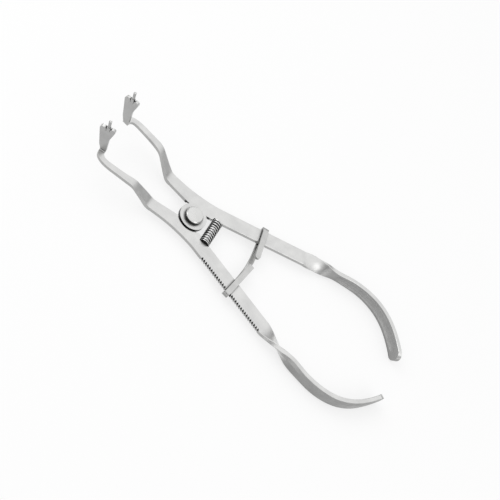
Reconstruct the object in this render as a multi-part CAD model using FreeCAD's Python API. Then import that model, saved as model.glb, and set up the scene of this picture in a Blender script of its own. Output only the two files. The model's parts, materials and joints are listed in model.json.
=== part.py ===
import FreeCAD, Part
import math
import os

# Forceps for rubber dam clamps: two arms that lie side by side and never cross, a riveted half-lap
# joint, a return spring and a sliding lock. Squeezing the handles spreads the two tips.
# Millimetres and degrees. X runs from the tips to the handles and Z is up. The pivot axis stands at
# X = Y = 0, with Z = 0 at mid-thickness of the bars, until the whole part is set down on its base.
# Every shape of an arm is made on the +Y side, and the other arm is its mirror image.

# Flat bar of the arms
bar_thickness = 1.9
bar_width = 7.1
bar_edge_bevel = 0.15
arm_angle = 16.6
arm_offset = 6.9
shank_end = 58.0

# Jaw, from beside the pivot to the bend below the fan
edge_join = 12.4
jaw_outer_at_pivot = 11.85
jaw_waist = 11.25
jaw_inner_at_joint = 4.2
ramp_start = 17.0
ramp_start_outer = 11.65
ramp_start_inner = 6.3
ramp_lead = 1.8
ramp_foot_outer = 11.8
ramp_foot_inner = 6.65
ramp_foot_radius = 4.5
ramp_length = 11.0
ramp_height = 7.5
ramp_bend_radius = 6.0
ramp_end_outer = 14.1
ramp_end_inner = 10.4
ramp_end_thickness = 1.7
tip_rise = 0.9
tip_outer_bulge = 15.3
tip_inner_bulge = 12.6
tip_thickness = 1.5

# Places on the tip where its edges bend, as shares of its length from the ramp
outer_bulge_start = 0.4
outer_bulge_place = 0.77
inner_bulge_start = 0.36
inner_bulge_place = 0.68

# Bend, fan and peg at the end of each jaw
foot_forward = 48.3
foot_side = 10.9
foot_width = 2.7
fan_yaw = 6.7
fan_lean = 15.0
bend_inner_radius = 0.35
fan_height = 14.2
fan_front_neck = 2.15
fan_back_neck = 1.5
front_lobe_reach = 3.7
back_lobe_reach = 3.7
lobe_radius = 1.25
lobe_inner_radius = 0.95
notch_depth = 1.7
peg_diameter = 1.3
peg_neck_width = 1.45
peg_neck_rise = 0.3
peg_slot = 0.15
peg_length = 4.1
peg_shift = 0.1
peg_tip_bevel = 0.35

# Twist and handle
twist_length = 17.0
twist_steps = 6
handle_steps = 7
handle_route = [(72.0, 28.2), (84.0, 30.5), (95.5, 29.6), (106.5, 24.0), (117.2, 11.3)]
handle_end_turn = 0.35
handle_thickness = 2.0
handle_height_start = 5.8
handle_height_end = 8.1
handle_tip_radius = 3.9
handle_crown = 0.4
handle_ridge = 1.0
channel_radius = 4.4
channel_depth = 0.75
channel_start_gap = 2.0
channel_end_gap = 4.0
channel_run_out = 3.0
channel_steps = 5
channel_sides = 18

# Pivot
ear_radius = 6.55
recess_gap = 1.3
lap_gap = 0.06
rivet_diameter = 4.8
rivet_running_gap = 0.03
rivet_head_diameter = 8.3
rivet_head_height = 1.9
rivet_head_bevel = 0.45
rivet_tail_diameter = 6.4
rivet_tail_height = 0.5
rivet_tail_bevel = 0.25

# Return spring and its seats
spring_place = 10.6
spring_diameter = 5.2
wire_diameter = 0.8
spring_turns = 11
coil_steps = 16
wire_sides = 8
spring_seat_upper = 7.0
spring_seat_lower = 8.0
pocket_gap = 0.2
spigot_gap = 0.25
spigot_length = 1.8

# Lock strip, and the toothed edge that it rides on
lock_place = 31.0
strip_width = 2.6
strip_thickness = 1.2
strip_face_gap = 0.25
fold_inset = 0.5
upper_strip_lean = 11.0
lower_strip_lean = 9.0
upper_prong_length = 15.0
lower_prong_length = 18.2
link_bow = 2.5
link_width = 2.4
link_steps = 4
tooth_pitch = 1.3
tooth_depth = 0.85
tooth_land = 0.2
tooth_count = 31
tooth_start = 17.0

# Closeness at which two places count as the same
same_place = 0.01

# Values that follow from the sizes above
half_bar = bar_thickness / 2
half_width = bar_width / 2
ramp_foot = ramp_start + ramp_lead
ramp_end = ramp_foot + ramp_length
ramp_slope = math.atan(ramp_height / ramp_length)
ramp_top = half_bar + ramp_height
tip_top = ramp_top + tip_rise
recess_radius = ear_radius + recess_gap


def vec(x, y, z=0.0):
    return FreeCAD.Vector(x, y, z)


def heading(degrees):
    """The unit vector in the XY plane at an angle from +X."""
    return vec(math.cos(math.radians(degrees)), math.sin(math.radians(degrees)))


up = vec(0, 0, 1)
arm_along = heading(arm_angle)
arm_out = heading(arm_angle + 90)


def on_arm(along, out, z=0.0):
    """A point given along the straight bar from beside the pivot, and outwards from the pivot."""
    return arm_along * along + arm_out * out + up * z


def smooth(points, start=None, end=None):
    """A smooth curve through the points, with its end directions where they are given."""
    curve = Part.BSplineCurve()
    if start and end:
        curve.interpolate(Points=points, InitialTangent=start, FinalTangent=end)
    else:
        curve.interpolate(Points=points)
    return curve


def segment(first, last):
    return Part.LineSegment(first, last).toShape()


def rounded_outline(corners):
    """A closed outline. Each corner is a point and the radius that rounds it, or 0."""
    starts = []
    tops = []
    ends = []
    for i, (corner, radius) in enumerate(corners):
        to_last = (corners[i - 1][0] - corner).normalize()
        to_next = (corners[(i + 1) % len(corners)][0] - corner).normalize()
        half = to_last.getAngle(to_next) / 2
        middle = (to_last + to_next).normalize()
        starts.append(corner + to_last * (radius / math.tan(half)))
        ends.append(corner + to_next * (radius / math.tan(half)))
        tops.append(corner + middle * (radius / math.sin(half) - radius))
    edges = []
    for i, (corner, radius) in enumerate(corners):
        if radius > 0:
            edges.append(Part.Arc(starts[i], tops[i], ends[i]).toShape())
        edges.append(segment(ends[i], starts[(i + 1) % len(corners)]))
    return Part.Wire(edges)


def slab(wire, bottom, height):
    """The solid above a flat outline that is drawn at Z = 0."""
    face = Part.Face(wire)
    face.translate(up * bottom)
    return face.extrude(up * height)


def drum(radius, bottom, top, centre=vec(0, 0), axis=up):
    """A cylinder about an axis through the centre, between two heights along that axis."""
    return Part.makeCylinder(radius, top - bottom, centre + axis * bottom, axis)


def ring(centre, first, second, radius, sides):
    """A closed polygon about a centre, in the plane of two unit vectors."""
    corners = []
    for k in range(sides + 1):
        angle = 2 * math.pi * k / sides
        corners.append(centre + (first * math.cos(angle) + second * math.sin(angle)) * radius)
    return Part.makePolygon(corners)


def flat_bar():
    """The flat bar from the twist to the start of the ramp, with its long edges bevelled."""
    shank_outer = on_arm(shank_end, arm_offset + half_width)
    shank_inner = on_arm(shank_end, arm_offset - half_width)
    outer_join = on_arm(edge_join, arm_offset + half_width)
    inner_join = on_arm(half_width, arm_offset - half_width)
    joint_corner = vec(-ear_radius / 2, jaw_inner_at_joint)
    ramp_outer = vec(-ramp_start, ramp_start_outer)
    ramp_inner = vec(-ramp_start, ramp_start_inner)
    waist = vec(-ramp_start / 2, jaw_waist)
    beside_pivot = vec(0, jaw_outer_at_pivot)
    outer = smooth([ramp_outer, waist, beside_pivot, outer_join], waist - ramp_outer, arm_along)
    outline = Part.Wire([outer.toShape(), segment(outer_join, shank_outer),
                         segment(shank_outer, shank_inner), segment(shank_inner, inner_join),
                         segment(inner_join, joint_corner), segment(joint_corner, ramp_inner),
                         segment(ramp_inner, ramp_outer)])
    bar = slab(outline, -half_bar, bar_thickness)
    bar_ends = [(shank_outer + shank_inner) / 2, (ramp_inner + ramp_outer) / 2]

    def is_long_edge(edge):
        middle = edge.CenterOfMass
        on_face = abs(abs(middle.z) - half_bar) < same_place
        return on_face and all(math.hypot(middle.x - e.x, middle.y - e.y) > same_place for e in bar_ends)

    return bar.makeChamfer(bar_edge_bevel, [edge for edge in bar.Edges if is_long_edge(edge)])


def jaw():
    """The jaw beyond the flat bar: a ramp and a nearly level tip that curves towards the middle."""
    across = heading(180 - fan_yaw)
    arrival = heading(270 - fan_yaw)
    foot = vec(-foot_forward, foot_side)
    front = foot + across * (foot_width / 2)
    back = foot - across * (foot_width / 2)
    tip_length = foot_forward - ramp_end
    outer = smooth([vec(-ramp_start, ramp_start_outer), vec(-ramp_foot, ramp_foot_outer),
                    vec(-ramp_end, ramp_end_outer),
                    vec(-ramp_end - tip_length * outer_bulge_start,
                        (ramp_end_outer + 2 * tip_outer_bulge) / 3),
                    vec(-ramp_end - tip_length * outer_bulge_place, tip_outer_bulge), front],
                   vec(-ramp_lead, ramp_foot_outer - ramp_start_outer), arrival)
    inner = smooth([vec(-ramp_start, ramp_start_inner), vec(-ramp_foot, ramp_foot_inner),
                    vec(-ramp_end, ramp_end_inner),
                    vec(-ramp_end - tip_length * inner_bulge_start,
                        (ramp_end_inner + 2 * tip_inner_bulge) / 3),
                    vec(-ramp_end - tip_length * inner_bulge_place, tip_inner_bulge), back],
                   vec(-ramp_lead, ramp_foot_inner - ramp_start_inner), arrival)
    plan = Part.Wire([outer.toShape(), segment(front, back), inner.toShape(),
                      segment(vec(-ramp_start, ramp_start_inner), vec(-ramp_start, ramp_start_outer))])
    level_from = -foot_forward + foot_width / 2
    beyond = -foot_forward - foot_width
    side = rounded_outline([(vec(-ramp_start, 0, -half_bar), 0),
                            (vec(-ramp_start, 0, half_bar), 0),
                            (vec(-ramp_foot, 0, half_bar), ramp_foot_radius),
                            (vec(-ramp_end, 0, ramp_top), ramp_bend_radius + ramp_end_thickness),
                            (vec(level_from, 0, tip_top), 0),
                            (vec(beyond, 0, tip_top), 0),
                            (vec(beyond, 0, tip_top - tip_thickness), 0),
                            (vec(level_from, 0, tip_top - tip_thickness), 0),
                            (vec(-ramp_end + tip_thickness / 2, 0, ramp_top - ramp_end_thickness),
                             ramp_bend_radius),
                            (vec(-ramp_foot - bar_thickness * math.tan(ramp_slope / 2), 0, -half_bar),
                             ramp_foot_radius)])
    deep = Part.Face(side).extrude(vec(0, foot_side + tip_outer_bulge))
    return slab(plan, -half_bar, tip_top + bar_thickness).common(deep)


def fan():
    """The bend at the end of the jaw, the upright fan with two lobes, and the peg on its square neck."""
    lean_sin = math.sin(math.radians(fan_lean))
    lean_cos = math.cos(math.radians(fan_lean))
    near = bend_inner_radius
    centre = near + tip_thickness / 2
    root = fan_height - notch_depth
    neck_half = peg_neck_width / 2
    neck_top = fan_height + peg_neck_rise
    slot_half = neck_half + peg_slot
    peg_u = -peg_shift

    def at(u, v, y=near):
        """A point of the leaning fan: forwards u and up v, in the frame of its foot."""
        return vec(u * lean_cos + v * lean_sin, y, v * lean_cos - u * lean_sin)

    outline = rounded_outline([(vec(foot_width / 2, near, near), 0),
                               (at(fan_front_neck, fan_height / 4), fan_height / 4),
                               (at(front_lobe_reach, fan_height), lobe_radius),
                               (at(peg_u + slot_half, fan_height), lobe_inner_radius),
                               (at(peg_u + slot_half, root), 0),
                               (at(peg_u + neck_half, root), 0),
                               (at(peg_u + neck_half, neck_top), 0),
                               (at(peg_u - neck_half, neck_top), 0),
                               (at(peg_u - neck_half, root), 0),
                               (at(peg_u - slot_half, root), 0),
                               (at(peg_u - slot_half, fan_height), lobe_inner_radius),
                               (at(-back_lobe_reach, fan_height), lobe_radius),
                               (at(-fan_back_neck, fan_height / 2), fan_height / 2),
                               (vec(-foot_width / 2, near, near), 0)])
    plate = Part.Face(outline).extrude(vec(0, tip_thickness))
    section = Part.Face(Part.makePolygon([vec(-foot_width / 2, 0, 0), vec(foot_width / 2, 0, 0),
                                          vec(foot_width / 2, 0, -tip_thickness),
                                          vec(-foot_width / 2, 0, -tip_thickness),
                                          vec(-foot_width / 2, 0, 0)]))
    bend = section.revolve(vec(0, 0, near), vec(1, 0, 0), 90)
    peg_axis = (at(0, 1, 0) - at(0, 0, 0)).normalize()
    peg = Part.makeCylinder(peg_diameter / 2, fan_height + peg_length - root,
                            at(peg_u, root, centre), peg_axis)
    tip = at(peg_u, fan_height + peg_length, centre)
    tip_edges = [edge for edge in peg.Edges if (edge.CenterOfMass - tip).Length < same_place]
    peg = peg.makeChamfer(peg_tip_bevel, tip_edges)
    shape = plate.fuse([bend, peg])
    across = heading(180 - fan_yaw)
    arrival = heading(270 - fan_yaw)
    foot = vec(-foot_forward, foot_side, tip_top)
    shape.Placement = FreeCAD.Placement(foot, FreeCAD.Rotation(across, arrival, up, "ZXY"))
    return shape


def handle_path():
    """The centre line of one handle, from the end of the flat bar to its free end."""
    points = [on_arm(shank_end, arm_offset)] + [vec(x, y) for x, y in handle_route]
    last = points[-1] - points[-2]
    return smooth(points, arm_along, (last.normalize() + vec(0, -handle_end_turn)).normalize())


def handle_section(path, along):
    """The section of the bar at one place: flat at first, on edge after the twist."""
    here = path.value(path.parameterAtDistance(along, path.FirstParameter))
    forward = path.tangent(path.parameterAtDistance(along, path.FirstParameter))[0]
    outward = up.cross(forward)
    length = path.length()
    part = min(along / twist_length, 1.0)
    blend = part * part * (3 - 2 * part)
    turn = math.radians(90 * part)
    wide = outward * math.cos(turn) + up * math.sin(turn)
    thick = up * math.cos(turn) - outward * math.sin(turn)
    flare = handle_height_start + (handle_height_end - handle_height_start) * along / length
    half_high = (bar_width + (flare - bar_width) * blend) / 2
    half_thick = (bar_thickness + (handle_thickness - bar_thickness) * blend) / 2
    crown = handle_crown * blend
    bevel = bar_edge_bevel

    def at(w, t):
        return here + wide * w + thick * t

    corners = [at(-half_high + bevel, half_thick), at(half_high - bevel, half_thick),
               at(half_high, half_thick - bevel), at(half_high, -half_thick + bevel),
               at(half_high - bevel, -half_thick), at(handle_ridge * blend, -half_thick - crown),
               at(-half_high + bevel, -half_thick), at(-half_high, -half_thick + bevel),
               at(-half_high, half_thick - bevel)]
    return Part.makePolygon(corners + corners[:1])


def handle():
    """The twisted and curved handle with its rounded free end and the channel on its inner face."""
    path = handle_path()
    length = path.length()
    stations = [twist_length * i / twist_steps for i in range(twist_steps)]
    stations += [twist_length + (length - twist_length) * i / handle_steps for i in range(handle_steps + 1)]
    body = Part.makeLoft([handle_section(path, s) for s in stations], True, False)
    return body.cut([handle_tip_cut(path), channel_cut(path)])


def handle_tip_cut(path):
    """What is taken off the free end to round it."""
    tip = path.value(path.LastParameter)
    forward = path.tangent(path.LastParameter)[0]
    outward = up.cross(forward)
    half_high = handle_height_end / 2
    r = handle_tip_radius
    start = tip - outward * handle_height_end - forward * r
    over = handle_height_end
    block = Part.Face(Part.makePolygon([start - up * over, start + up * over,
                                        start + up * over + forward * over,
                                        start - up * over + forward * over, start - up * over]))
    keep = [(start - forward * over - up * half_high, 0), (start - forward * over + up * half_high, 0),
            (start + forward * r + up * half_high, r), (start + forward * r - up * half_high, r)]
    kept = Part.Face(rounded_outline(keep))
    return block.cut(kept).extrude(outward * 2 * handle_height_end)


def channel_cut(path):
    """The long shallow channel along the inner face of the handle, which runs out at both ends."""
    first = twist_length + channel_start_gap
    last = path.length() - channel_end_gap
    reach = handle_thickness / 2 + channel_radius
    full = [first + channel_run_out + (last - first - 2 * channel_run_out) * i / channel_steps
            for i in range(channel_steps + 1)]
    depths = [(first, 0)] + [(distance, channel_depth) for distance in full] + [(last, 0)]
    rings = []
    for distance, depth in depths:
        parameter = path.parameterAtDistance(distance, path.FirstParameter)
        outward = up.cross(path.tangent(parameter)[0])
        centre = path.value(parameter) - outward * (reach - depth)
        rings.append(ring(centre, outward, up, channel_radius, channel_sides))
    return Part.makeLoft(rings, True, False)


def arm(ear_side, spring_seat):
    """One arm on the +Y side. Its ear lies in the front layer, or with -1 in the back layer."""
    low = lap_gap / 2 if ear_side > 0 else -half_bar
    ear = drum(ear_radius, low, low + half_bar - lap_gap / 2)
    recess = drum(recess_radius, -half_bar if ear_side > 0 else -lap_gap / 2,
                  lap_gap / 2 if ear_side > 0 else half_bar)
    bar = flat_bar().cut(recess)
    bore_radius = rivet_diameter / 2 + (rivet_running_gap if ear_side > 0 else 0)
    bore = drum(bore_radius, -bar_thickness, bar_thickness)
    pocket = drum(spring_diameter / 2 + pocket_gap, 0, spring_seat, vec(spring_place, 0), vec(0, 1))
    shape = bar.fuse([ear, jaw(), fan(), handle()])
    shape = shape.cut([bore, pocket])
    spigot_radius = spring_diameter / 2 - wire_diameter - spigot_gap
    spigot = drum(spigot_radius, spring_seat - spigot_length, spring_seat + wire_diameter,
                  vec(spring_place, 0), vec(0, 1))
    bar_layer = drum(shank_end, -half_bar, half_bar)
    return shape.fuse(spigot.common(bar_layer))


def mirrored(shape):
    return shape.mirror(vec(0, 0), vec(0, 1))


def tooth_notches():
    """The notches of the toothed outer edge. The steep side of each one faces the handle."""
    edge_line = arm_offset + half_width
    over = tooth_depth / 2
    slope = tooth_pitch * (1 - tooth_land)
    notches = []
    for i in range(tooth_count):
        a = tooth_start + i * tooth_pitch
        corners = [on_arm(a, edge_line + over), on_arm(a, edge_line - tooth_depth),
                   on_arm(a + slope * (1 + over / tooth_depth), edge_line + over)]
        notches.append(slab(Part.makePolygon(corners + corners[:1]), -bar_thickness, 2 * bar_thickness))
    return notches


def upper_arm():
    return arm(1, spring_seat_upper)


def lower_arm():
    return mirrored(arm(-1, spring_seat_lower).cut(tooth_notches()))


def pivot_rivet():
    """The rivet: a raised round head in front, the shank through both ears, and a peened tail."""
    radius = rivet_diameter / 2
    head_radius = rivet_head_diameter / 2
    tail_radius = rivet_tail_diameter / 2
    face = half_bar + rivet_running_gap
    top = face + rivet_head_height
    bottom = -half_bar - rivet_tail_height
    half = [vec(0, 0, bottom), vec(tail_radius - rivet_tail_bevel, 0, bottom),
            vec(tail_radius, 0, bottom + rivet_tail_bevel), vec(tail_radius, 0, -half_bar),
            vec(radius, 0, -half_bar), vec(radius, 0, face), vec(head_radius, 0, face),
            vec(head_radius, 0, top - rivet_head_bevel), vec(head_radius - rivet_head_bevel, 0, top),
            vec(0, 0, top), vec(0, 0, bottom)]
    return Part.Face(Part.makePolygon(half)).revolve(vec(0, 0), up, 360)


def spring():
    """The return spring: a coil of round wire between its two seats."""
    radius = (spring_diameter - wire_diameter) / 2
    length = spring_seat_upper + spring_seat_lower - wire_diameter
    start = vec(spring_place, -spring_seat_lower + wire_diameter / 2)
    sections = []
    for i in range(spring_turns * coil_steps + 1):
        turn = 2 * math.pi * i / coil_steps
        spoke = vec(math.cos(turn), 0, math.sin(turn))
        centre = start + spoke * radius + vec(0, length * i / (spring_turns * coil_steps))
        sections.append(ring(centre, spoke, vec(0, 1), wire_diameter / 2, wire_sides))
    return Part.makeLoft(sections, True, True)


def prong(root, inward, length, bottom):
    """A straight flat stretch of the strip, one strip thickness high."""
    side = up.cross(inward) * (strip_width / 2)
    end = root + inward * length
    return slab(Part.makePolygon([root - side, end - side, end + side, root + side, root - side]),
                bottom, strip_thickness)


def lock_end(side, lean, prong_length):
    """One end of the lock: the fold round the edge of an arm, and where its link begins."""
    edge = vec(lock_place, side * on_edge(lock_place))
    inward = heading(-side * (90 - lean))
    centre = edge + inward * fold_inset
    low = half_bar + strip_face_gap
    across = up.cross(inward) * (strip_width / 2)
    section = Part.Face(Part.makePolygon([centre - across + up * low, centre + across + up * low,
                                          centre + across + up * (low + strip_thickness),
                                          centre - across + up * (low + strip_thickness),
                                          centre - across + up * low]))
    fold = section.revolve(centre, across.normalize() * -1, 180)
    return centre, inward, [fold, prong(centre, inward, prong_length, low)]


def link(line):
    """The bowed strip behind the arms, of even width along a line in plan."""
    sides = [[], []]
    for i in range(link_steps + 1):
        parameter = line.FirstParameter + (line.LastParameter - line.FirstParameter) * i / link_steps
        across = up.cross(line.tangent(parameter)[0]) * (link_width / 2)
        sides[0].append(line.value(parameter) + across)
        sides[1].append(line.value(parameter) - across)
    outline = Part.Wire([smooth(sides[0]).toShape(), segment(sides[0][-1], sides[1][-1]),
                         smooth(sides[1]).toShape(), segment(sides[1][0], sides[0][0])])
    return slab(outline, -half_bar - strip_face_gap - strip_thickness, strip_thickness)


def on_edge(x):
    """How far the outer edge of a straight bar lies from the middle line at a given X."""
    out = arm_offset + half_width
    return out / arm_along.x + x * arm_along.y / arm_along.x


def sliding_lock():
    """The lock: one bent strip, folded round both arms, with a link behind and two prongs in front."""
    upper_centre, upper_inward, upper_pieces = lock_end(1, upper_strip_lean, upper_prong_length)
    lower_centre, lower_inward, lower_pieces = lock_end(-1, lower_strip_lean, lower_prong_length)
    bow = vec(lock_place + link_bow, 0)
    line = smooth([upper_centre, bow, lower_centre], upper_inward, lower_inward * -1)
    pieces = upper_pieces + lower_pieces + [link(line)]
    prong_end = upper_centre + upper_inward * upper_prong_length
    low = half_bar + strip_face_gap
    pieces.append(drum(strip_width / 2, low, low + strip_thickness, prong_end))
    return pieces[0].fuse(pieces[1:]).removeSplitter()


def build():
    """All sub-parts, set down so that the part's box stands centred on the origin."""
    parts = {"upper_arm": upper_arm(), "lower_arm": lower_arm(), "pivot_rivet": pivot_rivet(),
             "return_spring": spring(), "sliding_lock": sliding_lock()}
    whole = Part.makeCompound(list(parts.values())).optimalBoundingBox(False, False)
    shift = vec(-whole.Center.x, -whole.Center.y, -whole.ZMin)
    for shape in parts.values():
        shape.translate(shift)
    print("pivot axis at", [round(c, 4) for c in shift])
    return parts


os.makedirs("parts", exist_ok=True)
for name, shape in build().items():
    shape.exportStep("parts/" + name + ".step")
    print(name, round(shape.Volume, 2), "valid", shape.isValid(), "solids", len(shape.Solids))
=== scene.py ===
import json
import math

import bpy
from mathutils import Matrix, Vector


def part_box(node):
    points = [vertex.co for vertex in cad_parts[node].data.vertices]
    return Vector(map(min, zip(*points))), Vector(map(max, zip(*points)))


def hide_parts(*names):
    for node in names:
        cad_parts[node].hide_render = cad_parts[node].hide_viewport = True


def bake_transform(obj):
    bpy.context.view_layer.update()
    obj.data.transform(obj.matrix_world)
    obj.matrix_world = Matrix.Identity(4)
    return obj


# Looks for a pair of rubber dam clamp forceps: satin steel arms, a turned rivet, a bright coil spring
# and a sliding lock, on a plain pale floor. Metres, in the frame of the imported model.

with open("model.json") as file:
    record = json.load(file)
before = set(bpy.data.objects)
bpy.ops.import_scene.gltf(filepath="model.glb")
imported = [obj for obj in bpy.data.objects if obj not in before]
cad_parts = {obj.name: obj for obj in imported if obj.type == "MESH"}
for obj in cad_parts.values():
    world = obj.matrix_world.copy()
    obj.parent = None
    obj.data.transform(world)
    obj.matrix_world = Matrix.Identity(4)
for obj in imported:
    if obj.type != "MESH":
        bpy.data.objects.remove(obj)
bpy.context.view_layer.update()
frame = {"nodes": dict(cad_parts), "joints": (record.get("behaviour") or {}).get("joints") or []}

pivot_joint = next(joint for joint in frame["joints"] if joint["type"] == "hinge")
pivot = Vector(pivot_joint["pos_m"])

# Camera, from the photograph's 500 pixel square frame
camera_from_pivot = Vector((-0.0424, -0.2661, 0.3247))
aim_from_pivot = Vector((0.0298, 0.0066, 0))
camera_roll = math.radians(50.83)
focal_pixels = 955.6
frame_pixels = 500
sensor_width = 36
clip_start = 0.01

# Return spring. Its place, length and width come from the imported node.
wire_radius = 0.0004
coil_turns = 11
closed_turns = 1.2
closed_turn_spacing = 1.04
steps_per_turn = 40
wire_sides = 14

# How the skin of the steel varies: noise scales per metre, and how far each one counts
cloud_scale = 160
grain_scale = 5200
scratch_scale = 2600
scratch_stretch = (0.08, 1, 0.5)
patch_scale = 420
cloud_share = 0.65
patch_share = 0.7
relief_share = 0.7
noise_low = 0.35
noise_high = 0.65
bump_strength = 0.12
bump_depth = 0.00003
# Samples for the painted shade in crevices
crevice_samples = 12

# How squarely a face looks up or down: below the first it counts as upright and gets the full painted
# shade, above the second as level
upright_below = 0.15
level_above = 0.6

# How squarely the wire looks along the coil: the painted shade between turns starts at the first, full at
# the second
groove_from = 0.3
groove_full = 0.75

# The upright walls round the riveted joint get a deep painted shade
joint_reach = 0.0083
joint_edge = 1.06
joint_wall_painted_shade = 0.06

# The broad, upright faces of the handles get a deeper painted shade than the upright edges of the bars
handle_reach = 0.06
handle_edge = 1.3
handle_wall_painted_shade = 0.44

# Light
floor_size = 6
floor_white = 0.72
floor_matt = 0.9
sky_low = 0.22
sky_high = 0.98
horizon_top = 0.12
zenith_from = 0.62


def node_tree(name):
    """A new material and its node tree with only an output and a principled shader in it."""
    material = bpy.data.materials.new(name)
    material.use_nodes = True
    tree = material.node_tree
    tree.nodes.clear()
    output = tree.nodes.new("ShaderNodeOutputMaterial")
    shader = tree.nodes.new("ShaderNodeBsdfPrincipled")
    tree.links.new(shader.outputs["BSDF"], output.inputs["Surface"])
    return material, tree, shader


def noise(tree, vector, scale, detail, roughness=0.5):
    node = tree.nodes.new("ShaderNodeTexNoise")
    node.inputs["Scale"].default_value = scale
    node.inputs["Detail"].default_value = detail
    node.inputs["Roughness"].default_value = roughness
    tree.links.new(vector, node.inputs["Vector"])
    return node.outputs["Fac"]


def ramp(tree, value, low, high, out_low, out_high):
    """Maps a value from one range to another, and holds it inside the new range."""
    node = tree.nodes.new("ShaderNodeMapRange")
    node.inputs["From Min"].default_value = low
    node.inputs["From Max"].default_value = high
    node.inputs["To Min"].default_value = out_low
    node.inputs["To Max"].default_value = out_high
    tree.links.new(value, node.inputs["Value"])
    return node.outputs["Result"]


def math_node(tree, operation, first, second):
    node = tree.nodes.new("ShaderNodeMath")
    node.operation = operation
    for socket, value in zip(node.inputs, (first, second)):
        if isinstance(value, (int, float)):
            socket.default_value = value
        else:
            tree.links.new(value, socket)
    return node.outputs["Value"]


def blended(tree, first, second, first_share):
    """Two values added up by their shares."""
    return math_node(tree, "ADD", math_node(tree, "MULTIPLY", first, first_share),
                     math_node(tree, "MULTIPLY", second, 1 - first_share))


def stretched(tree, vector, stretch):
    """The position, stretched so that a noise on it becomes streaks."""
    node = tree.nodes.new("ShaderNodeMapping")
    node.inputs["Scale"].default_value = stretch
    tree.links.new(vector, node.inputs["Vector"])
    return node.outputs["Vector"]


def colour_mix(tree, factor, first, second):
    node = tree.nodes.new("ShaderNodeMix")
    node.data_type = "RGBA"
    for socket, value in zip((node.inputs[0], node.inputs[6], node.inputs[7]), (factor, first, second)):
        if isinstance(value, tuple):
            socket.default_value = (*value, 1)
        else:
            tree.links.new(value, socket)
    return node.outputs[2]


def shaded(tree, colour, factor):
    """A colour times a grey factor."""
    node = tree.nodes.new("ShaderNodeMix")
    node.data_type = "RGBA"
    node.blend_type = "MULTIPLY"
    node.inputs[0].default_value = 1
    tree.links.new(colour, node.inputs[6])
    tree.links.new(factor, node.inputs[7])
    return node.outputs[2]


def facing(tree, axis):
    """How squarely a face looks along an axis, either way."""
    normal = tree.nodes.new("ShaderNodeNewGeometry").outputs["True Normal"]
    split = tree.nodes.new("ShaderNodeSeparateXYZ")
    tree.links.new(normal, split.inputs["Vector"])
    return math_node(tree, "ABSOLUTE", split.outputs[axis], 0)


def painted_wall_shade_at(tree, place, joint_painted_shade, wall_painted_shade):
    """The painted shade on upright faces: darkest round the joint, and darker on the handles than on the
    bars.
    """
    from_pivot = tree.nodes.new("ShaderNodeVectorMath")
    from_pivot.operation = "DISTANCE"
    tree.links.new(place, from_pivot.inputs[0])
    from_pivot.inputs[1].default_value = pivot
    distance = from_pivot.outputs["Value"]
    # Painted shade on upright faces, deepest within reach of the joint
    painted_joint_shade = ramp(tree, distance, joint_reach, joint_reach * joint_edge, joint_painted_shade, wall_painted_shade)
    # Deeper painted shade on upright faces out on the handles
    painted_handle_shade = ramp(tree, distance, handle_reach, handle_reach * handle_edge, wall_painted_shade, handle_wall_painted_shade)
    return math_node(tree, "MINIMUM", painted_joint_shade, painted_handle_shade)


def painted_upright_shade(tree, wall_painted_shade):
    """1 on faces that look up or down, and the wall's painted shade on upright ones, darker than the level
    faces.
    """
    level = ramp(tree, facing(tree, "Z"), upright_below, level_above, 0, 1)
    lost = math_node(tree, "MULTIPLY", math_node(tree, "SUBTRACT", 1, level),
                     math_node(tree, "SUBTRACT", 1, wall_painted_shade))
    return math_node(tree, "SUBTRACT", 1, lost)


def painted_crevice_shade(tree, reach, crevice_painted_shade, closed, open_air):
    """1 in the open, and painted shade where the geometry closes in, such as between the teeth."""
    node = tree.nodes.new("ShaderNodeAmbientOcclusion")
    node.samples = crevice_samples
    node.inputs["Distance"].default_value = reach
    return ramp(tree, node.outputs["AO"], closed, open_air, crevice_painted_shade, 1)


def steel(name, light, dark, rough_low, rough_high, wall_painted_shade=0.6, reach=0.0016, crevice_painted_shade=0.04,
          closed=0.4, open_air=0.85, groove_painted_shade=1, joint_painted_shade=joint_wall_painted_shade):
    """Satin steel: cloudy colour, fine blasted grain, faint scratches, uneven gloss, and painted shade on
    upright faces, in crevices and, when asked, between coil turns.
    """
    material, tree, shader = node_tree(name)
    place = tree.nodes.new("ShaderNodeTexCoord").outputs["Object"]
    clouds = noise(tree, place, cloud_scale, 4)
    grain = noise(tree, place, grain_scale, 2)
    scratches = noise(tree, stretched(tree, place, scratch_stretch), scratch_scale, 2)
    patches = noise(tree, place, patch_scale, 5, 0.6)
    tone = blended(tree, clouds, grain, cloud_share)
    colour = colour_mix(tree, ramp(tree, tone, noise_low, noise_high, 0, 1), dark, light)
    shade = math_node(tree, "MULTIPLY", painted_upright_shade(tree, painted_wall_shade_at(tree, place, joint_painted_shade, wall_painted_shade)),
                      painted_crevice_shade(tree, reach, crevice_painted_shade, closed, open_air))
    # Painted shade between the coil's turns, on faces of the wire that look along the coil
    if groove_painted_shade < 1:
        coil_gap_shade = ramp(tree, facing(tree, "Y"), groove_from, groove_full, 1, groove_painted_shade)
        shade = math_node(tree, "MULTIPLY", shade, coil_gap_shade)
    tree.links.new(shaded(tree, colour, shade), shader.inputs["Base Color"])
    gloss = blended(tree, patches, scratches, patch_share)
    tree.links.new(ramp(tree, gloss, noise_low, noise_high, rough_low, rough_high),
                   shader.inputs["Roughness"])
    shader.inputs["Metallic"].default_value = 1
    bumps = tree.nodes.new("ShaderNodeBump")
    bumps.inputs["Strength"].default_value = bump_strength
    bumps.inputs["Distance"].default_value = bump_depth
    tree.links.new(blended(tree, grain, scratches, relief_share), bumps.inputs["Height"])
    tree.links.new(bumps.outputs["Normal"], shader.inputs["Normal"])
    return material


def placed(name, data):
    """An object with the given data, in the scene."""
    obj = bpy.data.objects.new(name, data)
    bpy.context.scene.collection.objects.link(obj)
    return obj


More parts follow.
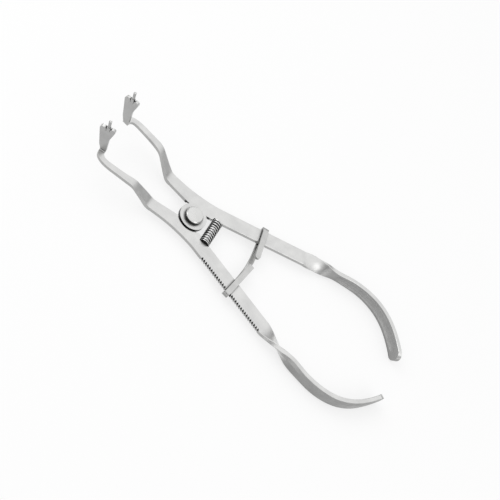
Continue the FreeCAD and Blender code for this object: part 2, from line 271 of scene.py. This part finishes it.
def give(node, material):
    """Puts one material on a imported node, in place of its own."""
    obj = frame["nodes"][node]
    obj.data.materials.clear()
    obj.data.materials.append(material)


def coil_height(turn, length):
    """How far up the coil a turn lies: the end turns are wound closed, the rest is even."""
    closed_pitch = 2 * wire_radius * closed_turn_spacing
    closed = closed_pitch * closed_turns
    open_pitch = (length - 2 * closed) / (coil_turns - 2 * closed_turns)
    if turn < closed_turns:
        return turn * closed_pitch
    if turn > coil_turns - closed_turns:
        return length - (coil_turns - turn) * closed_pitch
    return closed + (turn - closed_turns) * open_pitch


def spring_coil():
    """The return spring as one round wire with closed end turns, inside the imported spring's box."""
    low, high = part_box("return_spring")
    axis_x = (low.x + high.x) / 2
    axis_z = (low.z + high.z) / 2
    coil_radius = (high.x - low.x) / 2 - wire_radius
    start = low.y + wire_radius
    length = high.y - low.y - 2 * wire_radius
    count = coil_turns * steps_per_turn
    centres = []
    for i in range(count + 1):
        turn = i / steps_per_turn
        angle = 2 * math.pi * turn
        y = start + coil_height(turn, length)
        centres.append(Vector((axis_x + coil_radius * math.cos(angle), y,
                               axis_z + coil_radius * math.sin(angle))))
    verts = []
    for i, centre in enumerate(centres):
        ahead = centres[min(i + 1, count)] - centres[max(i - 1, 0)]
        outward = Vector((centre.x - axis_x, 0, centre.z - axis_z)).normalized()
        side = ahead.normalized().cross(outward).normalized()
        for k in range(wire_sides):
            angle = 2 * math.pi * k / wire_sides
            verts.append(centre + (outward * math.cos(angle) + side * math.sin(angle)) * wire_radius)
    faces = []
    for i in range(count):
        for k in range(wire_sides):
            after = (k + 1) % wire_sides
            a = i * wire_sides
            faces.append((a + k, a + after, a + wire_sides + after, a + wire_sides + k))
    faces.append(tuple(range(wire_sides)))
    faces.append(tuple(count * wire_sides + k for k in reversed(range(wire_sides))))
    mesh = bpy.data.meshes.new("coil")
    mesh.from_pydata(verts, [], faces)
    for polygon in mesh.polygons:
        polygon.use_smooth = len(polygon.vertices) == 4
    return placed("coil", mesh)


def area_lamp(name, place, width, power):
    """A square lamp that looks at the middle of the forceps."""
    lamp = bpy.data.lights.new(name, "AREA")
    lamp.shape = "RECTANGLE"
    lamp.size, lamp.size_y = width, width
    lamp.energy = power
    obj = placed(name, lamp)
    obj.location = place
    obj.rotation_euler = (-Vector(place)).to_track_quat("-Z", "Y").to_euler()


def pale_floor():
    """A wide pale floor that shows white to the camera and in the metal, and keeps the shadow."""
    mesh = bpy.data.meshes.new("floor")
    half = floor_size / 2
    mesh.from_pydata([(-half, -half, 0), (half, -half, 0), (half, half, 0), (-half, half, 0)], [],
                     [(0, 1, 2, 3)])
    floor = placed("floor", mesh)
    material = bpy.data.materials.new("floor_white")
    material.use_nodes = True
    tree = material.node_tree
    tree.nodes.clear()
    output = tree.nodes.new("ShaderNodeOutputMaterial")
    matt = tree.nodes.new("ShaderNodeBsdfDiffuse")
    matt.inputs["Color"].default_value = (floor_matt, floor_matt, floor_matt, 1)
    white = tree.nodes.new("ShaderNodeEmission")
    white.inputs["Strength"].default_value = 1
    path = tree.nodes.new("ShaderNodeLightPath").outputs
    mirrored = math_node(tree, "MAXIMUM", path["Is Glossy Ray"], path["Is Transmission Ray"])
    seen = math_node(tree, "MAXIMUM", path["Is Camera Ray"], mirrored)
    mix = tree.nodes.new("ShaderNodeMixShader")
    tree.links.new(math_node(tree, "MULTIPLY", seen, floor_white), mix.inputs["Fac"])
    tree.links.new(matt.outputs["BSDF"], mix.inputs[1])
    tree.links.new(white.outputs["Emission"], mix.inputs[2])
    tree.links.new(mix.outputs["Shader"], output.inputs["Surface"])
    floor.data.materials.append(material)


def world_light():
    """A pale studio: white to the camera and overhead, with a darker band low down for the metal."""
    world = bpy.data.worlds.new("studio")
    bpy.context.scene.world = world
    world.use_nodes = True
    tree = world.node_tree
    tree.nodes.clear()
    output = tree.nodes.new("ShaderNodeOutputWorld")
    background = tree.nodes.new("ShaderNodeBackground")
    place = tree.nodes.new("ShaderNodeTexCoord").outputs["Generated"]
    split = tree.nodes.new("ShaderNodeSeparateXYZ")
    tree.links.new(place, split.inputs["Vector"])
    low = (sky_low, sky_low, sky_low)
    high = (sky_high, sky_high, sky_high)
    shade = colour_mix(tree, ramp(tree, split.outputs["Z"], horizon_top, zenith_from, 0, 1), low, high)
    seen = tree.nodes.new("ShaderNodeLightPath").outputs["Is Camera Ray"]
    tree.links.new(colour_mix(tree, seen, shade, high), background.inputs["Color"])
    tree.links.new(background.outputs["Background"], output.inputs["Surface"])


def camera():
    """The camera at the photograph's viewing angle, rolled as the photograph is."""
    lens = bpy.data.cameras.new("camera")
    lens.sensor_width = sensor_width
    lens.lens = sensor_width * focal_pixels / frame_pixels
    lens.clip_start = clip_start
    obj = placed("camera", lens)
    look = (aim_from_pivot - camera_from_pivot).to_track_quat("-Z", "Y").to_matrix()
    turned = look @ Matrix.Rotation(camera_roll, 3, "Z")
    obj.matrix_world = Matrix.Translation(pivot + camera_from_pivot) @ turned.to_4x4()
    bpy.context.scene.camera = obj


bpy.context.scene.view_settings.view_transform = "Standard"
camera()
world_light()
pale_floor()
area_lamp("key", place=(-0.6, 0.15, 0.6), width=0.6, power=1.8)
area_lamp("fill", place=(0.6, -0.35, 0.55), width=0.5, power=0.6)

# Each steel has painted shade on its upright faces, round the joint and in crevices; the wire also between
# its turns
arm_steel = steel("arm_steel", light=(0.79, 0.79, 0.78), dark=(0.67, 0.67, 0.665),
                  rough_low=0.28, rough_high=0.4)
rivet_steel = steel("rivet_steel", light=(0.78, 0.78, 0.77), dark=(0.7, 0.7, 0.69),
                    rough_low=0.24, rough_high=0.34, wall_painted_shade=0.3)
lock_steel = steel("lock_steel", light=(0.68, 0.68, 0.67), dark=(0.56, 0.56, 0.555),
                   rough_low=0.26, rough_high=0.38, wall_painted_shade=0.5)
wire_steel = steel("wire_steel", light=(0.88, 0.88, 0.87), dark=(0.74, 0.74, 0.73),
                   rough_low=0.14, rough_high=0.24, reach=0.0011, crevice_painted_shade=0, closed=0.36,
                   open_air=0.76, groove_painted_shade=0.05, joint_painted_shade=0.6)
give("upper_arm", arm_steel)
give("lower_arm", arm_steel)
give("pivot_rivet", rivet_steel)
give("sliding_lock", lock_steel)

coil = spring_coil()
coil.data.materials.append(wire_steel)
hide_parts("return_spring")
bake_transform(coil)
